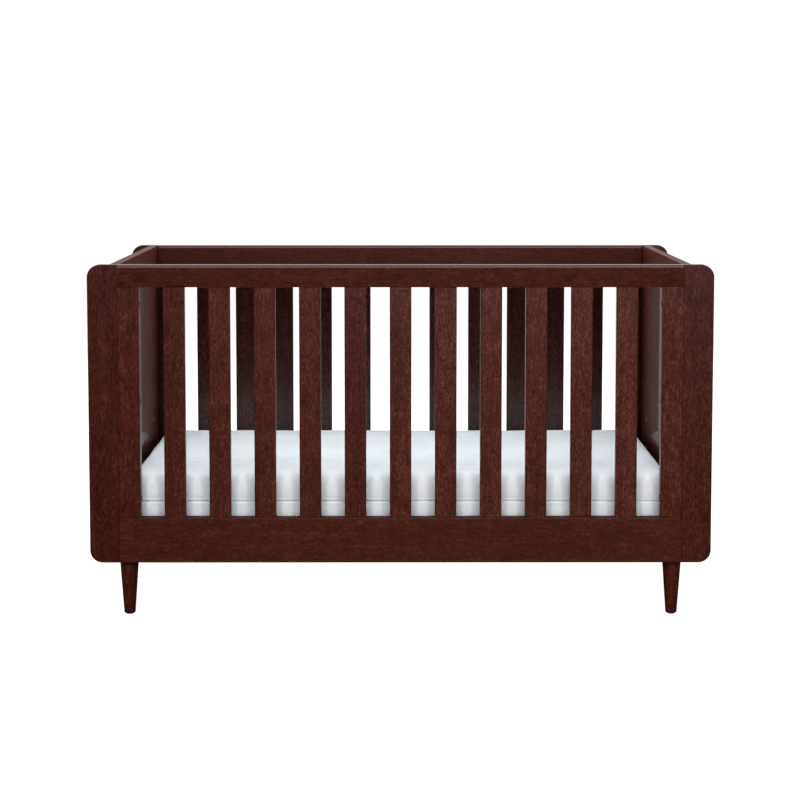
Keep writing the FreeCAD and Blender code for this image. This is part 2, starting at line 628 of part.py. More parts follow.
def support_brackets():
    """Corner brackets on the end rails, each with a notch that hangs on a pin."""
    body = new_body("support_brackets")
    plate = sketch_on(body, "YZ_Plane", z="dims.support_half_length")
    rectangle(plate,
              "dims.bracket_place - dims.bracket_width / 2", "dims.bracket_place + dims.bracket_width / 2",
              "dims.bracket_low", "dims.support_top")
    pad(body, plate, "dims.bracket_thickness")
    notch = sketch_on(body, "YZ_Plane", z="dims.support_half_length")
    rectangle(notch, "dims.bracket_place - dims.pin_shoulder_radius - dims.notch_gap",
              "dims.bracket_place + dims.pin_shoulder_radius + dims.notch_gap",
              "dims.bracket_low - 1", "dims.pin_height")
    pocket(body, notch, "dims.bracket_thickness", along_normal=True)
    notch_end = sketch_on(body, "YZ_Plane", z="dims.support_half_length")
    circle(notch_end, "dims.bracket_place", "dims.pin_height", "dims.pin_shoulder_radius + dims.notch_gap")
    pocket(body, notch_end, "dims.bracket_thickness", along_normal=True)
    mirror(body, "YZ_Plane", "XZ_Plane")


def mattress():
    """The mattress as one plain rounded block."""
    body = new_body("mattress")
    section = sketch_on(body, "XY_Plane")
    rectangle(section, "-dims.mattress_length / 2", "dims.mattress_length / 2",
              "-dims.mattress_width / 2", "dims.mattress_width / 2")
    pad(body, section, "dims.mattress_thickness")
    round_edges(body, "dims.mattress_corner", lambda edge: runs_along(edge, "Z"))
    round_edges(body, "dims.mattress_edge", lambda edge: edge.BoundBox.ZLength < 0.01)
    place(body, "0", "0", "dims.support_top + dims.mattress_gap")


SIDES = (("left", -1), ("right", 1))
FACES = (("front", False), ("back", True))

for side_name, side in SIDES:
    end_panel(f"{side_name}_end_panel", side)

for face_name, turned in FACES:
    rail(f"{face_name}_top_rail", "dims.top_rail_height", "dims.top_rail_round", True,
         "dims.overall_height - dims.top_rail_height", turned)
    rail(f"{face_name}_bottom_rail", "dims.bottom_rail_height", "dims.bottom_rail_round", False,
         "dims.leg_height", turned)
    for number in range(1, int(value_of("slat_count")) + 1):
        slat(f"{face_name}_slat_{number:02d}", number, turned)
    for side_name, side in SIDES:
        # A turned piece swaps its left and its right, so its name follows the place where it ends up.
        local_side = -side if turned else side
        post(f"{face_name}_{side_name}_post", local_side, turned)
        stile(f"{face_name}_{side_name}_stile", local_side, turned)
        corner_block(f"{face_name}_{side_name}_block", local_side, turned)
        leg(f"{face_name}_{side_name}_leg", local_side, turned)

frame_bolts()
post_inserts()
panel_inserts()
support_pins()
leg_hanger_bolts()
block_inserts()
block_screws()
foot_glides()

support_side_rail("support_front_rail", False)
support_side_rail("support_back_rail", True)
support_end_rail("support_left_rail", False)
support_end_rail("support_right_rail", True)
support_wires()
support_springs()
support_brackets()
mattress()

doc.recompute()
for item in doc.Objects:
    if "Invalid" in item.State or "Error" in item.State:
        raise RuntimeError(f"{item.Name} failed: {item.getStatusString()}")
for part in sub_parts:
    if part.Shape.isNull() or not part.Shape.isValid():
        raise RuntimeError(f"{part.Label} has no valid shape")

os.makedirs("parts", exist_ok=True)
for part in sub_parts:
    part.Shape.exportStep(f"parts/{part.Label}.step")
print(f"{len(sub_parts)} nodes written")
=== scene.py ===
"""The looks of the baby crib: stained and lacquered wood, a steel mattress support and a quilted mattress."""
import json
import math

import bmesh
import bpy
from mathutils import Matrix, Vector, noise
from mathutils.bvhtree import BVHTree


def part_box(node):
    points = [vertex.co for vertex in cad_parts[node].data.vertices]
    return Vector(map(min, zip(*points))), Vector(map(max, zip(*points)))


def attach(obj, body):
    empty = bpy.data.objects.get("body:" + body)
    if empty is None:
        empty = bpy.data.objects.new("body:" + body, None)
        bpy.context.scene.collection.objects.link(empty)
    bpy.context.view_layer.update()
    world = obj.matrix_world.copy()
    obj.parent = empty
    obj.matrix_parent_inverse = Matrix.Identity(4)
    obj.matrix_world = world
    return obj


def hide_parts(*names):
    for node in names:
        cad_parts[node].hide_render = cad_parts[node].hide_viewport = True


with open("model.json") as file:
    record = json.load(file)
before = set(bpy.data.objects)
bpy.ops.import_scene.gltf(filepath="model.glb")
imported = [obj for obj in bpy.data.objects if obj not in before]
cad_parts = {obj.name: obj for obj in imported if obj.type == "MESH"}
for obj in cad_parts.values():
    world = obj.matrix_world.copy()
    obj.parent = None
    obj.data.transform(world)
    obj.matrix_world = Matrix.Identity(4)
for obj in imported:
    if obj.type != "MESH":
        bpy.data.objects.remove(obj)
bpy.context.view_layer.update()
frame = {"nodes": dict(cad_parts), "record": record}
nodes = frame["nodes"]
MM = 0.001


# ---------------------------------------------------------------- shader graphs

class Graph:
    """A material whose patterns read Object coordinates and end in one Principled shader."""

    def __init__(self, name):
        self.material = bpy.data.materials.new(name)
        self.material.use_nodes = True
        self.tree = self.material.node_tree
        self.shader = self.tree.nodes["Principled BSDF"]
        self.place = self.add("ShaderNodeTexCoord").outputs["Object"]

    def add(self, kind, **settings):
        """Add a node and set its properties."""
        node = self.tree.nodes.new(kind)
        for name, value in settings.items():
            setattr(node, name, value)
        return node

    def link(self, source, target):
        """Join an output to an input."""
        self.tree.links.new(source, target)

    def fixed(self, **values):
        """Set the shader's own sockets. A double underscore in a key stands for a space."""
        for key, value in values.items():
            self.shader.inputs[key.replace("__", " ")].default_value = value

    def stretched(self, scale, turn=(0.0, 0.0, 0.0)):
        """Object coordinates multiplied along each axis by a scale, in cycles per metre."""
        mapping = self.add("ShaderNodeMapping")
        mapping.inputs["Scale"].default_value = scale
        mapping.inputs["Rotation"].default_value = turn
        self.link(self.place, mapping.inputs["Vector"])
        return mapping.outputs["Vector"]

    def noise(self, scale, detail=3.0, roughness=0.5, distortion=0.0):
        """Noise on stretched coordinates."""
        texture = self.add("ShaderNodeTexNoise")
        texture.inputs["Scale"].default_value = 1.0
        texture.inputs["Detail"].default_value = detail
        texture.inputs["Roughness"].default_value = roughness
        texture.inputs["Distortion"].default_value = distortion
        self.link(self.stretched(scale), texture.inputs["Vector"])
        return texture.outputs["Fac"]

    def between(self, value, low, high, new_low=0.0, new_high=1.0):
        """Stretch the span low..high of a value to new_low..new_high, and clamp it."""
        node = self.add("ShaderNodeMapRange")
        node.inputs["From Min"].default_value = low
        node.inputs["From Max"].default_value = high
        node.inputs["To Min"].default_value = new_low
        node.inputs["To Max"].default_value = new_high
        self.link(value, node.inputs["Value"])
        return node.outputs["Result"]

    def weighted(self, *terms):
        """The sum of values, each with its weight."""
        total = None
        for value, weight in terms:
            node = self.add("ShaderNodeMath", operation="MULTIPLY_ADD")
            self.link(value, node.inputs[0])
            node.inputs[1].default_value = weight
            if total is None:
                node.inputs[2].default_value = 0.0
            else:
                self.link(total, node.inputs[2])
            total = node.outputs[0]
        return total

    def ramp(self, value, stops):
        """Colours along a value, as (position, colour) pairs."""
        node = self.add("ShaderNodeValToRGB")
        elements = node.color_ramp.elements
        while len(elements) < len(stops):
            elements.new(0.5)
        for element, (position, colour) in zip(elements, stops):
            element.position = position
            element.color = (*colour, 1.0)
        self.link(value, node.inputs["Fac"])
        return node.outputs["Color"]

    def mixed(self, factor, first, second):
        """Blend a colour with a plain second colour."""
        node = self.add("ShaderNodeMix", data_type="RGBA")
        self.link(factor, node.inputs[0])
        self.link(first, node.inputs[6])
        node.inputs[7].default_value = (*second, 1.0)
        return node.outputs[2]

    def openness(self, reach):
        """1 on open surfaces, falling towards 0 where another surface is within the reach."""
        node = self.add("ShaderNodeAmbientOcclusion", samples=4)
        node.inputs["Distance"].default_value = reach
        return node.outputs["AO"]

    def bump(self, height, depth, strength=1.0):
        """Raise the surface by a height of 0..1 times a depth in metres."""
        node = self.add("ShaderNodeBump")
        node.inputs["Strength"].default_value = strength
        node.inputs["Distance"].default_value = depth
        self.link(height, node.inputs["Height"])
        self.link(node.outputs["Normal"], self.shader.inputs["Normal"])


# ---------------------------------------------------------------- materials

STAIN_DEEP = (0.0200, 0.0027, 0.0011)
STAIN_MID = (0.0660, 0.0116, 0.0050)
STAIN_PALE = (0.1560, 0.0440, 0.0340)
# The pore colour, also used for the painted shade in the joints and nooks.
PORE_AND_SHADE = (0.0080, 0.0018, 0.0012)
CLOTH_SHADE = (0.020, 0.018, 0.018)
# Reaches of the painted shade in the joints and in the nooks.
JOINT_SHADE_REACH = 5 * MM
NOOK_SHADE_REACH = 40 * MM
CLOTH_SHADE_REACH = 28 * MM


def stained_wood(name, grain, tone=0.0, contrast=1.0, roughness=(0.36, 0.50), coat=(0.25, 0.18),
                 nook_shade_span=(0.25, 0.80), reflection=0.3, flat_tops=False):
    """Open-pored hardwood under a dark red-brown stain and a satin clear coat, its grain along one axis.

    Painted shade darkens the joints into thin dark lines and the nooks near other parts. Flat tops have no
    coat if so asked."""
    graph = Graph(name)

    def along(long_scale, cross_scale):
        return tuple(long_scale if axis == grain else cross_scale for axis in "XYZ")

    board = graph.noise(along(0.6, 5.0), detail=1.0)
    figure = graph.noise(along(2.2, 34.0), detail=4.0, roughness=0.6, distortion=0.8)
    streak = graph.noise(along(24.0, 210.0), detail=3.0, roughness=0.6, distortion=0.4)
    speckle = graph.noise(along(110.0, 250.0), detail=3.0, roughness=0.7)
    blotch = graph.noise((30.0, 30.0, 30.0), detail=3.0, roughness=0.6)
    fibre = graph.noise(along(40.0, 900.0), detail=2.0, roughness=0.6)
    pores = graph.between(graph.noise(along(60.0, 620.0), detail=3.0, roughness=0.6), 0.56, 0.68)

    shade = graph.weighted((board, 0.10), (figure, 0.13), (streak, 0.20), (speckle, 0.50),
                           (blotch, 0.11), (fibre, 0.08))
    middle, reach = 0.56 - tone, 0.16 / contrast
    colour = graph.ramp(graph.between(shade, middle - reach, middle + reach),
                        [(0.02, STAIN_DEEP), (0.50, STAIN_MID), (1.0, STAIN_PALE)])
    colour = graph.mixed(graph.between(pores, 0.0, 1.0, 0.0, 0.6 * contrast), colour, PORE_AND_SHADE)
    # Painted shade: joints, where another part is within a few millimetres, are darkened towards the pore
    # colour.
    colour = graph.mixed(graph.between(graph.openness(JOINT_SHADE_REACH), 0.35, 0.88, 0.9, 0.0), colour, PORE_AND_SHADE)
    # Painted shade: nooks within 40 mm of another part are darkened; the same mask also roughens the surface
    # and fades the coat there.
    nook_shade = graph.between(graph.openness(NOOK_SHADE_REACH), *nook_shade_span, 1.0, 0.0)
    colour = graph.mixed(graph.between(nook_shade, 0.0, 1.0, 0.0, 0.8), colour, PORE_AND_SHADE)
    graph.link(colour, graph.shader.inputs["Base Color"])

    gloss = graph.between(graph.weighted((speckle, 0.5), (streak, 0.5)), 0.35, 0.65, *roughness)
    graph.link(graph.weighted((gloss, 1.0), (nook_shade, 0.35)), graph.shader.inputs["Roughness"])
    relief = graph.weighted((fibre, 0.25), (pores, -0.8), (speckle, 0.35))
    graph.bump(relief, 0.16 * MM, 0.6)
    coat_weight, coat_roughness = coat
    bare = nook_shade
    if flat_tops:
        facing = graph.add("ShaderNodeSeparateXYZ")
        graph.link(graph.add("ShaderNodeNewGeometry").outputs["Normal"], facing.inputs["Vector"])
        bare = graph.weighted((nook_shade, 1.0), (facing.outputs["Z"], 1.0))
    graph.link(graph.between(bare, 0.0, 1.0, coat_weight, 0.0), graph.shader.inputs["Coat Weight"])
    graph.fixed(Coat__Roughness=coat_roughness, Coat__IOR=1.45, Specular__IOR__Level=reflection)
    return graph.material


def plated_steel(name, colour, roughness, brush=(700.0, 700.0, 60.0)):
    """Plated or bare steel with fine drawing marks and faint stains."""
    graph = Graph(name)
    marks = graph.noise(brush, detail=3.0)
    stain = graph.noise((60.0, 60.0, 60.0), detail=4.0)
    dull = tuple(0.72 * part for part in colour)
    drawn = graph.ramp(marks, [(0.3, dull), (0.7, colour)])
    graph.link(graph.mixed(graph.between(stain, 0.35, 0.7), drawn, dull), graph.shader.inputs["Base Color"])
    graph.link(graph.between(marks, 0.3, 0.7, roughness, roughness + 0.16), graph.shader.inputs["Roughness"])
    graph.bump(marks, 0.03 * MM, 0.5)
    graph.fixed(Metallic=1.0)
    return graph.material


def powder_coat(name, colour):
    """Silver-grey powder coat with a fine orange-peel surface."""
    graph = Graph(name)
    peel = graph.noise((900.0, 900.0, 900.0), detail=2.0)
    drift = graph.noise((25.0, 25.0, 25.0), detail=3.0)
    dull = tuple(0.82 * part for part in colour)
    graph.link(graph.ramp(graph.weighted((peel, 0.4), (drift, 0.6)), [(0.3, dull), (0.7, colour)]),
               graph.shader.inputs["Base Color"])
    graph.link(graph.between(drift, 0.3, 0.7, 0.38, 0.5), graph.shader.inputs["Roughness"])
    graph.bump(peel, 0.05 * MM, 0.6)
    graph.fixed(Metallic=0.35)
    return graph.material


def moulded_plastic(name, colour):
    """Dark moulded plastic with a fine spark-eroded grain."""
    graph = Graph(name)
    grain = graph.noise((1600.0, 1600.0, 1600.0), detail=2.0)
    scuff = graph.noise((220.0, 220.0, 40.0), detail=4.0)
    pale = tuple(1.7 * part for part in colour)
    graph.link(graph.ramp(graph.weighted((grain, 0.5), (scuff, 0.5)), [(0.4, colour), (0.75, pale)]),
               graph.shader.inputs["Base Color"])
    graph.link(graph.between(scuff, 0.3, 0.7, 0.5, 0.66), graph.shader.inputs["Roughness"])
    graph.bump(grain, 0.05 * MM, 0.5)
    return graph.material


def mattress_cloth(name, colour):
    """A white knitted cover: fine cross ribs, a soft pucker between them and a faint cool cloudiness.

    Its colour carries painted shade where the frame stands close to it."""
    graph = Graph(name)
    wander = graph.noise((4.0, 9.0, 9.0), detail=2.0)
    rib = graph.add("ShaderNodeTexWave", wave_type="BANDS", bands_direction="Y", wave_profile="SIN")
    rib.inputs["Scale"].default_value = 1.0
    rib.inputs["Distortion"].default_value = 5.0
    rib.inputs["Detail"].default_value = 3.0
    rib.inputs["Detail Scale"].default_value = 1.6
    graph.link(graph.stretched((4.0, 13.0, 13.0), turn=(math.radians(45), 0.0, 0.0)), rib.inputs["Vector"])
    pucker = graph.noise((60.0, 170.0, 170.0), detail=3.0, roughness=0.6)
    weave = graph.noise((900.0, 900.0, 900.0), detail=2.0)
    cloud = graph.noise((9.0, 9.0, 9.0), detail=3.0)
    cool = (colour[0] * 0.90, colour[1] * 0.945, colour[2] * 0.98)
    tint = graph.weighted((cloud, 0.45), (pucker, 0.35), (weave, 0.12), (rib.outputs["Fac"], 0.08))
    knit = graph.ramp(tint, [(0.36, cool), (0.58, colour)])
    # Painted shade: the cover darkens towards CLOTH_SHADE where the frame is within a few centimetres, as the
    # shade beside the slats and above the bottom rail.
    painted_shade = graph.between(graph.openness(CLOTH_SHADE_REACH), 0.42, 0.61, 0.85, 0.0)
    graph.link(graph.mixed(painted_shade, knit, CLOTH_SHADE), graph.shader.inputs["Base Color"])
    graph.link(graph.between(weave, 0.3, 0.7, 0.82, 0.95), graph.shader.inputs["Roughness"])
    relief = graph.weighted((rib.outputs["Fac"], 0.42), (pucker, 0.42), (weave, 0.10), (wander, 0.06))
    graph.bump(relief, 1.1 * MM, 0.75)
    graph.fixed(Sheen__Weight=0.12, Sheen__Roughness=0.5, Specular__IOR__Level=0.25)
    return graph.material


def sewing_thread(name, colour):
    """Twisted cotton of the mattress's seams."""
    graph = Graph(name)
    twist = graph.noise((500.0, 500.0, 1200.0), detail=2.0)
    graph.link(graph.ramp(twist, [(0.3, tuple(0.8 * part for part in colour)), (0.7, colour)]),
               graph.shader.inputs["Base Color"])
    graph.bump(twist, 0.2 * MM, 0.6)
    graph.fixed(Roughness=0.9, Sheen__Weight=0.1)
    return graph.material


post_wood = stained_wood("post_wood", "Z", tone=-0.045, contrast=0.95)
slat_wood = stained_wood("slat_wood", "Z", contrast=1.3, coat=(0.5, 0.2))
# Painted light: the stiles get a paler copy of the post stain, for the brighter look they have under the
# lights.
stile_wood_painted_light = stained_wood("stile_wood_painted_light", "Z", tone=-0.01, contrast=0.95)
cap_wood = stained_wood("cap_wood", "X", tone=-0.06, contrast=0.95, coat=(1.0, 0.14), reflection=0.4)
# Painted shade: the wide nook span darkens the bottom rails strongly where the mattress and slats stand
# close, so their tops read near black.
foot_rail_wood = stained_wood("foot_rail_wood", "X", tone=-0.03, contrast=0.75, roughness=(0.5, 0.6),
                              coat=(0.0, 0.3), nook_shade_span=(0.50, 0.98), reflection=0.22)
panel_wood = stained_wood("panel_wood", "Z", tone=-0.03, contrast=0.9, roughness=(0.40, 0.50),
                          coat=(0.50, 0.06), reflection=0.08, flat_tops=True)
leg_wood = stained_wood("leg_wood", "Z", tone=-0.02)
block_wood = stained_wood("block_wood", "X", tone=-0.03, roughness=(0.5, 0.62))
bolt_steel = plated_steel("bolt_steel", (0.16, 0.13, 0.115), 0.34)
insert_steel = plated_steel("insert_steel", (0.62, 0.61, 0.58), 0.3)
wire_steel = plated_steel("wire_steel", (0.66, 0.66, 0.65), 0.26, brush=(90.0, 90.0, 700.0))
support_steel = powder_coat("support_steel", (0.40, 0.41, 0.42))
glide_plastic = moulded_plastic("glide_plastic", (0.018, 0.012, 0.010))
cover_cloth = mattress_cloth("cover_cloth", (0.79, 0.805, 0.82))
# Painted shade: the cord in each seam is dark so the seams read as dark lines of shade.
welt_shade_cord = sewing_thread("welt_shade_cord", (0.30, 0.29, 0.30))

FINISHES = {
    "post_wood": post_wood,
    "slat_wood": slat_wood,
    "rail_wood": cap_wood,
    "panel_wood": panel_wood,
    "leg_wood": leg_wood,
    "block_wood": block_wood,
    "bolt_steel": bolt_steel,
    "insert_steel": insert_steel,
    "support_steel": support_steel,
    "wire_steel": wire_steel,
    "spring_steel": wire_steel,
    "glide_plastic": glide_plastic,
    "mattress_fabric": cover_cloth,
}

# The bottom rails are flatter than the glossy top rails and carry stronger painted shade in their nooks; the
# stiles get a paler tone, painted light for their brighter look under the lights.
NODE_FINISHES = {
    "front_bottom_rail": foot_rail_wood,
    "back_bottom_rail": foot_rail_wood,
    "front_left_stile": stile_wood_painted_light,
    "front_right_stile": stile_wood_painted_light,
    "back_left_stile": stile_wood_painted_light,
    "back_right_stile": stile_wood_painted_light,
}

for subpart in frame["record"]["subparts"]:
    node = nodes[subpart["node"]]
    node.data.materials.clear()
    node.data.materials.append(NODE_FINISHES.get(subpart["node"], FINISHES[subpart["material_slot"]]))


# ---------------------------------------------------------------- mesh helpers

def add_object(name, mesh, material):
    """Put a mesh in the scene at the origin with one material."""
    mesh.materials.clear()
    mesh.materials.append(material)
    piece = bpy.data.objects.new(name, mesh)
    bpy.context.scene.collection.objects.link(piece)
    return piece


def mesh_from(bm, name):
    """Turn a bmesh into a smooth-shaded mesh."""
    bmesh.ops.recalc_face_normals(bm, faces=bm.faces)
    mesh = bpy.data.meshes.new(name)
    bm.to_mesh(mesh)
    bm.free()
    mesh.shade_smooth()
    return mesh


def apply_modifiers(piece):
    """Replace a piece's mesh by what its modifiers make of it."""
    graph = bpy.context.evaluated_depsgraph_get()
    made = bpy.data.meshes.new_from_object(piece.evaluated_get(graph))
    piece.modifiers.clear()
    piece.data = made
    return piece


def tube_along(name, paths, radius, material, closed, sides=2):
    """Round wires of one radius along lists of points."""
    curve = bpy.data.curves.new(name, "CURVE")
    curve.dimensions = "3D"
    curve.bevel_depth = radius
    curve.bevel_resolution = sides
    curve.use_fill_caps = not closed
    for path in paths:
        spline = curve.splines.new("POLY")
        spline.points.add(len(path) - 1)
        for point, place in zip(spline.points, path):
            point.co = (*place, 1.0)
        spline.use_cyclic_u = closed
    holder = bpy.data.objects.new(name, curve)
    bpy.context.scene.collection.objects.link(holder)
    mesh = bpy.data.meshes.new_from_object(holder.evaluated_get(bpy.context.evaluated_depsgraph_get()))
    bpy.data.objects.remove(holder)
    mesh.shade_smooth()
    return add_object(name, mesh, material)


# ---------------------------------------------------------------- mattress

CORNER_ROUND = 52 * MM
EDGE_ROUND = 33 * MM
SIDE_INSET = 4.0 * MM
TOP_INSET = 1.0 * MM
CROWN = 4 * MM
VOXEL = 10 * MM
SWELL_CAP = 6 * MM
SEAM_DROP = 62 * MM
LOWER_SEAM_RISE = 50 * MM
SEAM_DEPTH = 3.0 * MM
SEAM_HALF_WIDTH = 2.2 * MM
STITCH_RISE = 9 * MM
STITCH_DEPTH = 0.6 * MM
STITCH_HALF_WIDTH = 1.6 * MM
CREASE_CUTS = (-6.0, -4.0, -2.6, -1.3, 0.0, 1.3, 2.6, 4.0, 6.0, 7.6, 9.0, 10.4, 12.0)
QUILT_PITCH = 46 * MM
QUILT_DEPTH = 1.4 * MM
WELT_RADIUS = 1.1 * MM
WELT_DROP = 0.5 * MM
WELT_OFFSET = -1.9 * MM
WELT_POINTS = 300
CLOTH_FRAMES = 20

bed_low, bed_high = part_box("mattress")
bed_middle = (bed_low + bed_high) / 2
bed_size = bed_high - bed_low


def mattress_block():
    """A block with rounded plan corners and rounded edges, a little smaller than the finished mattress."""
    bm = bmesh.new()
    bmesh.ops.create_cube(bm, size=1.0)
    bmesh.ops.scale(bm, vec=bed_size - 2 * Vector((SIDE_INSET, SIDE_INSET, TOP_INSET)), verts=bm.verts)
    bmesh.ops.translate(bm, vec=bed_middle, verts=bm.verts)
    top_corners = [vertex for vertex in bm.verts if vertex.co.z > bed_middle.z]
    bmesh.ops.translate(bm, vec=(0.0, 0.0, CROWN), verts=top_corners)
    upright = [edge for edge in bm.edges if abs((edge.verts[0].co - edge.verts[1].co).z) > 0.01]
    bmesh.ops.bevel(bm, geom=upright, offset=CORNER_ROUND, segments=10, profile=0.5, affect="EDGES",
                    material=-1)
    rim = [edge for edge in bm.edges if abs((edge.verts[0].co - edge.verts[1].co).z) < 0.001]
    bmesh.ops.bevel(bm, geom=rim, offset=EDGE_ROUND, segments=8, profile=0.5, affect="EDGES", material=-1)
    return mesh_from(bm, "mattress_block")


def remeshed(mesh):
    """An even skin over the block."""
    piece = add_object("mattress_cover", mesh, cover_cloth)
    skin = piece.modifiers.new("skin", "REMESH")
    skin.mode = "VOXEL"
    skin.voxel_size = VOXEL
    return apply_modifiers(piece)


def swell(piece):
    """Let the cover swell as cloth over its filling, no further than the cap."""
    scene = bpy.context.scene
    start = [vertex.co.copy() for vertex in piece.data.vertices]
    cloth = piece.modifiers.new("cloth", "CLOTH")
    settings = cloth.settings
    settings.use_pressure = True
    settings.uniform_pressure_force = 4.0
    settings.effector_weights.gravity = 0.0
    settings.tension_stiffness = 40.0
    settings.compression_stiffness = 40.0
    settings.bending_stiffness = 4.0
    scene.frame_start = 1
    scene.frame_end = CLOTH_FRAMES
    for number in range(1, CLOTH_FRAMES + 1):
        scene.frame_set(number)
    apply_modifiers(piece)
    scene.frame_set(1)
    for vertex, before in zip(piece.data.vertices, start):
        move = vertex.co - before
        if move.length > SWELL_CAP:
            vertex.co = before + move.normalized() * SWELL_CAP


def soften(piece):
    """One subdivision."""
    smooth = piece.modifiers.new("smooth", "SUBSURF")
    smooth.levels = 1
    smooth.render_levels = 1
    apply_modifiers(piece)


def seams():
    """The heights of the two seams round the mattress's side, each with the way to its row of stitches."""
    return (bed_high.z - SEAM_DROP, 1), (bed_low.z + LOWER_SEAM_RISE, -1)


def crease(piece):
    """Cut rings of edges round the side where the seams and the stitches will be pulled in."""
    bm = bmesh.new()
    bm.from_mesh(piece.data)
    for height, way in seams():
        for cut in CREASE_CUTS:
            bmesh.ops.bisect_plane(bm, geom=bm.verts[:] + bm.edges[:] + bm.faces[:],
                                   plane_co=(0.0, 0.0, height + way * cut * MM), plane_no=(0.0, 0.0, 1.0))
    bm.to_mesh(piece.data)
    bm.free()


def sew(piece):
    """Pull the seams in and quilt the top and bottom in shallow wavy rows."""
    mesh = piece.data
    normals = [vertex.normal.copy() for vertex in mesh.vertices]
    for vertex, normal in zip(mesh.vertices, normals):
        place = vertex.co
        flatness = abs(normal.z)
        for height, way in seams():
            pull = SEAM_DEPTH * math.exp(-((place.z - height) / SEAM_HALF_WIDTH) ** 2)
            stitches = height + way * STITCH_RISE
            pull += STITCH_DEPTH * math.exp(-((place.z - stitches) / STITCH_HALF_WIDTH) ** 2)
            vertex.co = vertex.co - normal * pull * (1 - flatness)
        wander = 0.35 * noise.noise(Vector((place.x * 3.0, place.y * 3.0, 0.4)))
        wave = math.sin(2 * math.pi * (place.y / QUILT_PITCH + wander + 0.25 * math.sin(place.x * 7.5)))
        vertex.co = vertex.co + normal * QUILT_DEPTH * (wave - 1) * 0.5 * flatness ** 4


def side_ring(piece, height, offset):
    """Points round the mattress's side at one height, moved out of it by an offset."""
    tree = BVHTree.FromObject(piece, bpy.context.evaluated_depsgraph_get())
    points = []
    half = bed_size / 2
    for index in range(WELT_POINTS):
        angle = 2 * math.pi * index / WELT_POINTS
        across = Vector((math.cos(angle) * half.x * 1.6, math.sin(angle) * half.y * 1.6, 0.0))
        outside = Vector((bed_middle.x + across.x, bed_middle.y + across.y, height))
        inward = Vector((-across.x, -across.y, 0.0)).normalized()
        hit, normal, _, _ = tree.ray_cast(outside, inward)
        points.append(hit + Vector((normal.x, normal.y, 0.0)).normalized() * offset)
    return points


cover = remeshed(mattress_block())
swell(cover)
soften(cover)
crease(cover)
sew(cover)
cover.data.shade_smooth()
rings = [side_ring(cover, height - WELT_DROP, WELT_OFFSET) for height, _ in seams()]
welts = tube_along("mattress_welts", rings, WELT_RADIUS, welt_shade_cord, closed=True)

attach(cover, "mattress")
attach(welts, "mattress")
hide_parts("mattress")


# ---------------------------------------------------------------- end springs

SPRING_ROWS = 9
SPRING_TURNS = 11
POINTS_A_TURN = 12
COIL_RADIUS = 3.6 * MM
COIL_WIRE = 0.9 * MM
WIRE_HOOK = 6 * MM
SPRING_TAIL = 4 * MM
RAIL_HOOK = 18 * MM
TIP_GAP = 1 * MM
HOOK_EASE = 3 * MM
SPRING_RADIUS = 4.5 * MM
WIRE_HOOK_RISE = 2.6 * MM
RAIL_HOOK_RISE = 2.4 * MM
spring_low, spring_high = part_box("support_springs")
wire_low, wire_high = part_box("support_wires")


def spring_path(side, y):
    """A hook on the wire's end, the coil, and a hook up to the end rail's flange."""
    middle_z = (spring_low.z + spring_high.z) / 2
    coil_start = wire_high.x + SPRING_TAIL
    coil_end = spring_high.x - RAIL_HOOK
    hook_z = middle_z + WIRE_HOOK_RISE
    path = [Vector((wire_high.x - WIRE_HOOK, y, hook_z)), Vector((coil_start - HOOK_EASE, y, hook_z))]
    total = SPRING_TURNS * POINTS_A_TURN
    for step in range(total + 1):
        share = step / total
        angle = 2 * math.pi * share * SPRING_TURNS
        path.append(Vector((coil_start + (coil_end - coil_start) * share,
                            y + COIL_RADIUS * math.sin(angle), middle_z + COIL_RADIUS * math.cos(angle))))
    path.append(Vector((coil_end + SPRING_TAIL, y, middle_z + RAIL_HOOK_RISE)))
    path.append(Vector((spring_high.x - TIP_GAP, y, middle_z + RAIL_HOOK_RISE)))
    return [Vector((side * point.x, point.y, point.z)) for point in path]


row_step = (spring_high.y - spring_low.y - 2 * SPRING_RADIUS) / (SPRING_ROWS - 1)
spring_rows = [spring_low.y + SPRING_RADIUS + row_step * number for number in range(SPRING_ROWS)]
coils = tube_along("spring_coils", [spring_path(side, y) for side in (-1, 1) for y in spring_rows],
                   COIL_WIRE, wire_steel, closed=False)
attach(coils, "mattress_support")
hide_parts("support_springs")


# ---------------------------------------------------------------- floor, light and camera

FLOOR_HALF = 300.0
FLOOR_WHITE = 0.975
FLOOR_DARK = (0.035, 0.035, 0.035, 1.0)
FLOOR_GLOSS = 0.8
GLOSS_FRONT = 0.015
GLOSS_BACK = 0.95
GLOSS_BELOW = 0.6
AMBIENT = 0.09


def ray_switch(tree, ray):
    """1 for one kind of ray and 0 for the others."""
    return tree.nodes.new("ShaderNodeLightPath").outputs[ray]


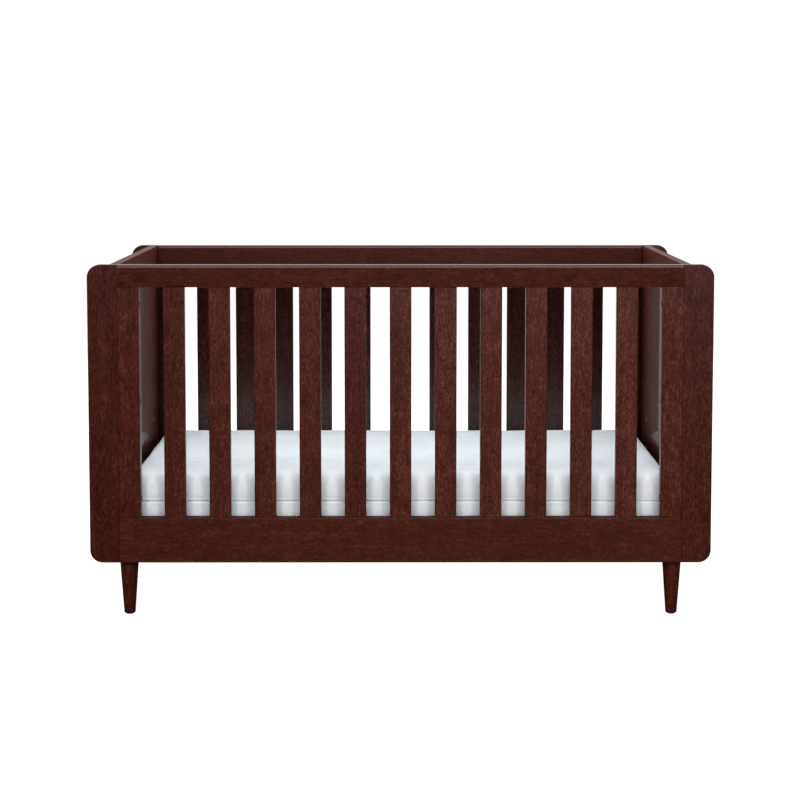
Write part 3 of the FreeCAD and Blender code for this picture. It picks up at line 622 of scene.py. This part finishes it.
def studio_floor():
    """A wide pale floor, white to look at, and in the crib's gloss dark in front and white behind."""
    bm = bmesh.new()
    bmesh.ops.create_grid(bm, x_segments=1, y_segments=1, size=FLOOR_HALF)
    mesh = mesh_from(bm, "studio_floor")
    graph = Graph("studio_floor")
    graph.fixed(Base__Color=(0.40, 0.40, 0.40, 1.0), Roughness=1.0, Specular__IOR__Level=0.0,
                Emission__Color=(1.0, 1.0, 1.0, 1.0), Emission__Strength=FLOOR_WHITE)
    grey = graph.add("ShaderNodeBsdfDiffuse")
    grey.inputs["Color"].default_value = FLOOR_DARK
    split = graph.add("ShaderNodeSeparateXYZ")
    graph.link(graph.place, split.inputs["Vector"])
    behind = graph.add("ShaderNodeMath", operation="MULTIPLY")
    graph.link(graph.between(split.outputs["Y"], 0.5, 2.5, 0.0, FLOOR_GLOSS), behind.inputs[0])
    graph.link(ray_switch(graph.tree, "Is Glossy Ray"), behind.inputs[1])
    white = graph.add("ShaderNodeEmission")
    graph.link(behind.outputs[0], white.inputs["Strength"])
    unseen = graph.add("ShaderNodeAddShader")
    graph.link(grey.outputs[0], unseen.inputs[0])
    graph.link(white.outputs[0], unseen.inputs[1])
    both = graph.add("ShaderNodeMixShader")
    graph.link(ray_switch(graph.tree, "Is Camera Ray"), both.inputs["Fac"])
    graph.link(unseen.outputs[0], both.inputs[1])
    graph.link(graph.shader.outputs[0], both.inputs[2])
    graph.link(both.outputs[0], graph.tree.nodes["Material Output"].inputs["Surface"])
    floor = add_object("studio_floor", mesh, graph.material)


def studio_world():
    """A white surround: an even glow on the surfaces, and in their gloss a dark side in front of the crib."""
    world = bpy.data.worlds.new("studio")
    bpy.context.scene.world = world
    world.use_nodes = True
    tree = world.node_tree
    tree.nodes.clear()
    place = tree.nodes.new("ShaderNodeTexCoord")
    split = tree.nodes.new("ShaderNodeSeparateXYZ")
    tree.links.new(place.outputs["Generated"], split.inputs["Vector"])
    depth = tree.nodes.new("ShaderNodeMapRange")
    depth.interpolation_type = "SMOOTHSTEP"
    depth.inputs["From Min"].default_value = -0.70
    depth.inputs["From Max"].default_value = 0.30
    depth.inputs["To Min"].default_value = GLOSS_FRONT
    depth.inputs["To Max"].default_value = GLOSS_BACK
    tree.links.new(split.outputs["Y"], depth.inputs["Value"])
    rise = tree.nodes.new("ShaderNodeMapRange")
    rise.inputs["From Min"].default_value = -0.03
    rise.inputs["From Max"].default_value = 0.05
    rise.inputs["To Min"].default_value = GLOSS_BELOW
    tree.links.new(split.outputs["Z"], rise.inputs["Value"])
    sky = tree.nodes.new("ShaderNodeMath")
    sky.operation = "MULTIPLY"
    tree.links.new(depth.outputs["Result"], sky.inputs[0])
    tree.links.new(rise.outputs["Result"], sky.inputs[1])
    glossy = tree.nodes.new("ShaderNodeMix")
    glossy.data_type = "FLOAT"
    glossy.inputs[2].default_value = AMBIENT
    tree.links.new(ray_switch(tree, "Is Glossy Ray"), glossy.inputs[0])
    tree.links.new(sky.outputs[0], glossy.inputs[3])
    seen = tree.nodes.new("ShaderNodeMix")
    seen.data_type = "FLOAT"
    seen.inputs[3].default_value = 1.0
    tree.links.new(ray_switch(tree, "Is Camera Ray"), seen.inputs[0])
    tree.links.new(glossy.outputs[0], seen.inputs[2])
    glow = tree.nodes.new("ShaderNodeBackground")
    glow.inputs["Color"].default_value = (1.0, 1.0, 1.0, 1.0)
    tree.links.new(seen.outputs[0], glow.inputs["Strength"])
    out = tree.nodes.new("ShaderNodeOutputWorld")
    tree.links.new(glow.outputs["Background"], out.inputs["Surface"])


def picked(name, starts, state):
    """The pieces whose names have these starts, as the set a light is kept off or kept to."""
    pieces = bpy.data.collections.new(name)
    for piece_name, node in nodes.items():
        if piece_name.startswith(starts):
            pieces.objects.link(node)
    for member in pieces.collection_objects:
        member.light_linking.link_state = state
    return pieces


FAR_PIECES = ("back_slat", "back_left_stile", "back_right_stile", "back_bottom")
TOP_RAILS = ("front_top_rail", "back_top_rail")
far_side = picked("far_side", FAR_PIECES, "EXCLUDE")
far_side_and_caps = picked("far_side_and_caps", FAR_PIECES + TOP_RAILS, "EXCLUDE")
caps_alone = picked("caps_alone", TOP_RAILS, "INCLUDE")
panels_alone = picked("panels_alone", ("left_end_panel", "right_end_panel"), "INCLUDE")


def softbox(name, place, aim, width, height, power, colour=(1.0, 1.0, 1.0), gloss=False,
            receivers=None):
    """A rectangular soft light, hidden from the camera, that lights the surfaces or shows in their gloss."""
    light = bpy.data.lights.new(name, "AREA")
    light.shape = "RECTANGLE"
    light.size = width
    light.size_y = height
    light.energy = power
    light.color = colour
    lamp = bpy.data.objects.new(name, light)
    lamp.location = place
    lamp.rotation_mode = "QUATERNION"
    lamp.rotation_quaternion = (Vector(aim) - Vector(place)).to_track_quat("-Z", "Y")
    lamp.visible_camera = False
    lamp.visible_glossy = gloss
    lamp.visible_diffuse = not gloss
    lamp.light_linking.receiver_collection = receivers
    bpy.context.scene.collection.objects.link(lamp)


def studio_camera():
    """A long lens a little above the top rail, looking slightly down at the front."""
    data = bpy.data.cameras.new("studio_camera")
    data.lens = 82.07
    data.shift_y = -0.16
    camera = bpy.data.objects.new("studio_camera", data)
    camera.location = (-0.0092, -4.6365, 1.1500)
    camera.rotation_euler = (math.radians(90 - 4.403), 0.0, math.radians(-0.105))
    bpy.context.scene.collection.objects.link(camera)
    bpy.context.scene.camera = camera


studio_floor()
studio_world()
softbox("front_high", (0.1, -3.7, 2.5), (0.0, -0.4, 0.75), 3.0, 1.0, 102.0, receivers=far_side)
softbox("front_right", (2.4, -5.2, 1.2), (0.0, -0.4, 0.45), 0.7, 1.0, 58.0, receivers=far_side)
softbox("front_left", (-2.0, -5.3, 1.2), (0.0, -0.4, 0.45), 0.7, 1.0, 52.0, receivers=far_side)
softbox("overhead", (-0.05, 0.7, 1.9), (-0.02, 0.0, 0.3), 0.9, 0.8, 32.0, colour=(0.91, 0.97, 1.0))
softbox("back_right", (2.6, 3.8, 1.6), (0.0, 0.3, 0.4), 1.6, 1.6, 70.0)
softbox("back_left", (-2.6, 3.8, 1.6), (0.0, 0.3, 0.4), 1.6, 1.6, 75.0)
softbox("gloss_above", (0.8, -3.4, 2.3), (0.1, -0.38, 0.8), 3.0, 0.6, 110.0, colour=(0.90, 0.92, 1.0),
        gloss=True, receivers=far_side_and_caps)
softbox("caps_above", (0.2, -2.6, 2.6), (0.0, -0.38, 0.8), 3.4, 1.6, 48.0, colour=(0.92, 0.90, 1.0),
        gloss=True, receivers=caps_alone)
for side in (-1, 1):
    softbox("beside_panel", (side * 3.6, 0.0, 0.5), (side * 0.7, 0.0, 0.45), 1.6, 0.5, 22.0,
            receivers=panels_alone)
studio_camera()
bpy.context.scene.view_settings.view_transform = "Standard"
